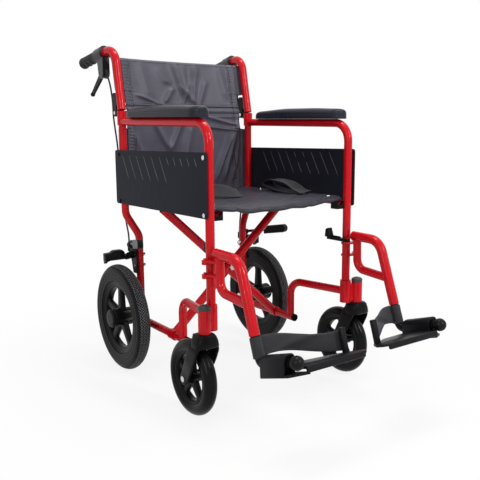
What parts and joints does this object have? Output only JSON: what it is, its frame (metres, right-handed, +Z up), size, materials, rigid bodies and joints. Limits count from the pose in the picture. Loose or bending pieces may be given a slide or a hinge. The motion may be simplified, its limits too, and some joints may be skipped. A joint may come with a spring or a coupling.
{
  "type": "folding transport wheelchair",
  "caption": "Folding transport wheelchair with a red tube frame, black fabric seat and back, padded arms, swing-away legrests, small wheels and push-handle brakes.",
  "frame": {"origin": "on the floor under the middle of the whole chair", "axes": "+Z up, -Y the way the sitter faces, +X to the sitter's left"},
  "size_m": [0.58, 1.021, 0.9396],
  "materials": {
    "red_paint": "glossy bright red powder coat",
    "black_plastic": "black moulded plastic",
    "black_metal": "black powder coat",
    "dark_gloss": "glossy dark grey moulding",
    "steel": "zinc-plated steel",
    "tyre": "black rubber",
    "caster_rubber": "black moulded wheel with a solid tyre",
    "rim_plastic": "black moulded spokes",
    "pad": "black moulded polyurethane",
    "panel_plastic": "black moulded sheet with slanting ribs",
    "grip_rubber": "black soft grip",
    "cable_sheath": "dark grey cable sheath",
    "footplate_plastic": "black moulded plastic",
    "sling_fabric": "black woven nylon",
    "webbing": "black webbing"
  },
  "bodies": {
    "right_frame": {"arm_tube_right": "red_paint", "rear_post_right": "red_paint", "lower_frame_right": "red_paint", "frame_plugs_right": "black_plastic", "frame_bolts_right": "steel", "arm_pad_right": "pad", "side_panel_right": "panel_plastic", "wheel_brake_right": "black_metal", "brake_cable_right": "cable_sheath", "back_sling_lower": "sling_fabric"},
    "caster_swivel_right": {"caster_fork_right": "black_plastic", "caster_axle_right": "steel"},
    "caster_wheel_right": {"caster_wheel_right": "caster_rubber"},
    "rear_wheel_right": {"rear_tyre_right": "tyre", "rear_rim_right": "rim_plastic"},
    "back_cane_right": {"back_cane_right": "red_paint", "push_grip_right": "grip_rubber", "brake_clamp_right": "dark_gloss", "back_hinge_right": "black_plastic", "back_sling_upper": "sling_fabric"},
    "brake_lever_right": {"brake_lever_right": "black_plastic"},
    "brake_shoe_right": {"brake_shoe_right": "black_metal"},
    "park_lever_right": {"park_lever_right": "black_metal"},
    "legrest_right": {"legrest_hanger_right": "red_paint"},
    "swing_latch_right": {"swing_latch_right": "black_plastic"},
    "foot_right": {"foot_tube_right": "black_metal", "heel_strap_right": "webbing"},
    "footplate_right": {"footplate_right": "footplate_plastic"},
    "left_frame": {"arm_tube_left": "red_paint", "rear_post_left": "red_paint", "lower_frame_left": "red_paint", "frame_plugs_left": "black_plastic", "frame_bolts_left": "steel", "arm_pad_left": "pad", "side_panel_left": "panel_plastic", "wheel_brake_left": "black_metal", "brake_cable_left": "cable_sheath"},
    "caster_swivel_left": {"caster_fork_left": "black_plastic", "caster_axle_left": "steel"},
    "caster_wheel_left": {"caster_wheel_left": "caster_rubber"},
    "rear_wheel_left": {"rear_tyre_left": "tyre", "rear_rim_left": "rim_plastic"},
    "back_cane_left": {"back_cane_left": "red_paint", "push_grip_left": "grip_rubber", "brake_clamp_left": "dark_gloss", "back_hinge_left": "black_plastic"},
    "brake_lever_left": {"brake_lever_left": "black_plastic"},
    "brake_shoe_left": {"brake_shoe_left": "black_metal"},
    "park_lever_left": {"park_lever_left": "black_metal"},
    "legrest_left": {"legrest_hanger_left": "red_paint"},
    "swing_latch_left": {"swing_latch_left": "black_plastic"},
    "foot_left": {"foot_tube_left": "black_metal", "heel_strap_left": "webbing"},
    "footplate_left": {"footplate_left": "footplate_plastic"},
    "brace_front": {"brace_front": "red_paint", "brace_bolt": "steel", "seat_sling": "sling_fabric", "lap_belt_left": "webbing"},
    "brace_rear": {"brace_rear": "red_paint", "lap_belt_right": "webbing"}
  },
  "joints": [
    {"name": "frame_fold", "type": "hinge", "parent": "right_frame", "child": "brace_front", "pos_m": [-0.187, 0.0685, 0.138], "axis": [0, -1, 0], "range_deg": [0, 33], "deforming": ["seat_sling", "back_sling_upper", "back_sling_lower", "lap_belt_left", "lap_belt_right", "heel_strap_left", "heel_strap_right"]},
    {"name": "brace_scissor", "type": "hinge", "parent": "brace_front", "child": "brace_rear", "pos_m": [0, 0.0815, 0.3065], "axis": [0, -1, 0], "range_deg": [-66, 0]},
    {"name": "left_frame_fold", "type": "hinge", "parent": "brace_rear", "child": "left_frame", "pos_m": [0.187, 0.0945, 0.138], "axis": [0, -1, 0], "range_deg": [0, 33]},
    {"name": "caster_swivel_right", "type": "hinge", "parent": "right_frame", "child": "caster_swivel_right", "pos_m": [-0.25, -0.1935, 0.23], "axis": [0, 0, 1], "continuous": true},
    {"name": "caster_spin_right", "type": "hinge", "parent": "caster_swivel_right", "child": "caster_wheel_right", "pos_m": [-0.25, -0.1365, 0.095], "axis": [1, 0, 0], "continuous": true},
    {"name": "rear_wheel_spin_right", "type": "hinge", "parent": "right_frame", "child": "rear_wheel_right", "pos_m": [-0.25, 0.2625, 0.155], "axis": [1, 0, 0], "continuous": true},
    {"name": "back_fold_right", "type": "hinge", "parent": "right_frame", "child": "back_cane_right", "pos_m": [-0.221, 0.3045, 0.745], "axis": [-1, 0, 0], "range_deg": [0, 95], "deforming": ["brake_cable_right"]},
    {"name": "brake_lever_right", "type": "hinge", "parent": "back_cane_right", "child": "brake_lever_right", "pos_m": [-0.22689, 0.3869, 0.862], "axis": [1, 0, 0], "range_deg": [0, 28], "stiffness_Nm_per_rad": 0.6, "springref_deg": -22.92},
    {"name": "brake_shoe_right", "type": "hinge", "parent": "right_frame", "child": "brake_shoe_right", "pos_m": [-0.2045, 0.2785, 0.333], "axis": [-1, 0, 0], "range_deg": [0, 18]},
    {"name": "park_lever_right", "type": "hinge", "parent": "right_frame", "child": "park_lever_right", "pos_m": [-0.2045, 0.2805, 0.363], "axis": [1, 0, 0], "range_deg": [0, 25]},
    {"name": "legrest_swing_right", "type": "hinge", "parent": "right_frame", "child": "legrest_right", "pos_m": [-0.243, -0.1895, 0.37], "axis": [0, 0, -1], "range_deg": [0, 90]},
    {"name": "swing_latch_right", "type": "hinge", "parent": "legrest_right", "child": "swing_latch_right", "pos_m": [-0.199, -0.2035, 0.397], "axis": [0, 0, -1], "range_deg": [0, 20], "stiffness_Nm_per_rad": 0.3, "springref_deg": -17.19},
    {"name": "foot_extend_right", "type": "slide", "parent": "legrest_right", "child": "foot_right", "axis": [0, -0.336, -0.9419], "range_m": [0, 0.08]},
    {"name": "footplate_flip_right", "type": "hinge", "parent": "foot_right", "child": "footplate_right", "pos_m": [-0.222, -0.39178, 0.19522], "axis": [0, -0.9511, 0.309], "range_deg": [0, 90], "deforming": ["heel_strap_right"]},
    {"name": "caster_swivel_left", "type": "hinge", "parent": "left_frame", "child": "caster_swivel_left", "pos_m": [0.25, -0.1935, 0.23], "axis": [0, 0, 1], "continuous": true},
    {"name": "caster_spin_left", "type": "hinge", "parent": "caster_swivel_left", "child": "caster_wheel_left", "pos_m": [0.25, -0.1365, 0.095], "axis": [1, 0, 0], "continuous": true},
    {"name": "rear_wheel_spin_left", "type": "hinge", "parent": "left_frame", "child": "rear_wheel_left", "pos_m": [0.25, 0.2625, 0.155], "axis": [1, 0, 0], "continuous": true},
    {"name": "back_fold_left", "type": "hinge", "parent": "left_frame", "child": "back_cane_left", "pos_m": [0.221, 0.3045, 0.745], "axis": [-1, 0, 0], "range_deg": [0, 95], "deforming": ["brake_cable_left"]},
    {"name": "brake_lever_left", "type": "hinge", "parent": "back_cane_left", "child": "brake_lever_left", "pos_m": [0.22689, 0.3869, 0.862], "axis": [1, 0, 0], "range_deg": [0, 28], "stiffness_Nm_per_rad": 0.6, "springref_deg": -22.92},
    {"name": "brake_shoe_left", "type": "hinge", "parent": "left_frame", "child": "brake_shoe_left", "pos_m": [0.2045, 0.2785, 0.333], "axis": [-1, 0, 0], "range_deg": [0, 18]},
    {"name": "park_lever_left", "type": "hinge", "parent": "left_frame", "child": "park_lever_left", "pos_m": [0.2045, 0.2805, 0.363], "axis": [1, 0, 0], "range_deg": [0, 25]},
    {"name": "legrest_swing_left", "type": "hinge", "parent": "left_frame", "child": "legrest_left", "pos_m": [0.243, -0.1895, 0.37], "axis": [0, 0, 1], "range_deg": [0, 90]},
    {"name": "swing_latch_left", "type": "hinge", "parent": "legrest_left", "child": "swing_latch_left", "pos_m": [0.199, -0.2035, 0.397], "axis": [0, 0, 1], "range_deg": [0, 20], "stiffness_Nm_per_rad": 0.3, "springref_deg": -17.19},
    {"name": "foot_extend_left", "type": "slide", "parent": "legrest_left", "child": "foot_left", "axis": [0, -0.336, -0.9419], "range_m": [0, 0.08]},
    {"name": "footplate_flip_left", "type": "hinge", "parent": "foot_left", "child": "footplate_left", "pos_m": [0.222, -0.39178, 0.19522], "axis": [0, 0.9511, -0.309], "range_deg": [0, 90], "deforming": ["heel_strap_left"]}
  ],
  "couplings": [
    {"joint": "brace_scissor", "follows": "frame_fold", "ratio": -2},
    {"joint": "left_frame_fold", "follows": "frame_fold", "ratio": 1},
    {"joint": "brake_shoe_right", "follows": "brake_lever_right", "ratio": 0.64},
    {"joint": "footplate_flip_right", "follows": "frame_fold", "ratio": 2.72},
    {"joint": "brake_shoe_left", "follows": "brake_lever_left", "ratio": 0.64},
    {"joint": "footplate_flip_left", "follows": "frame_fold", "ratio": 2.72},
    {"joint": "back_fold_left", "follows": "back_fold_right", "ratio": 1}
  ]
}
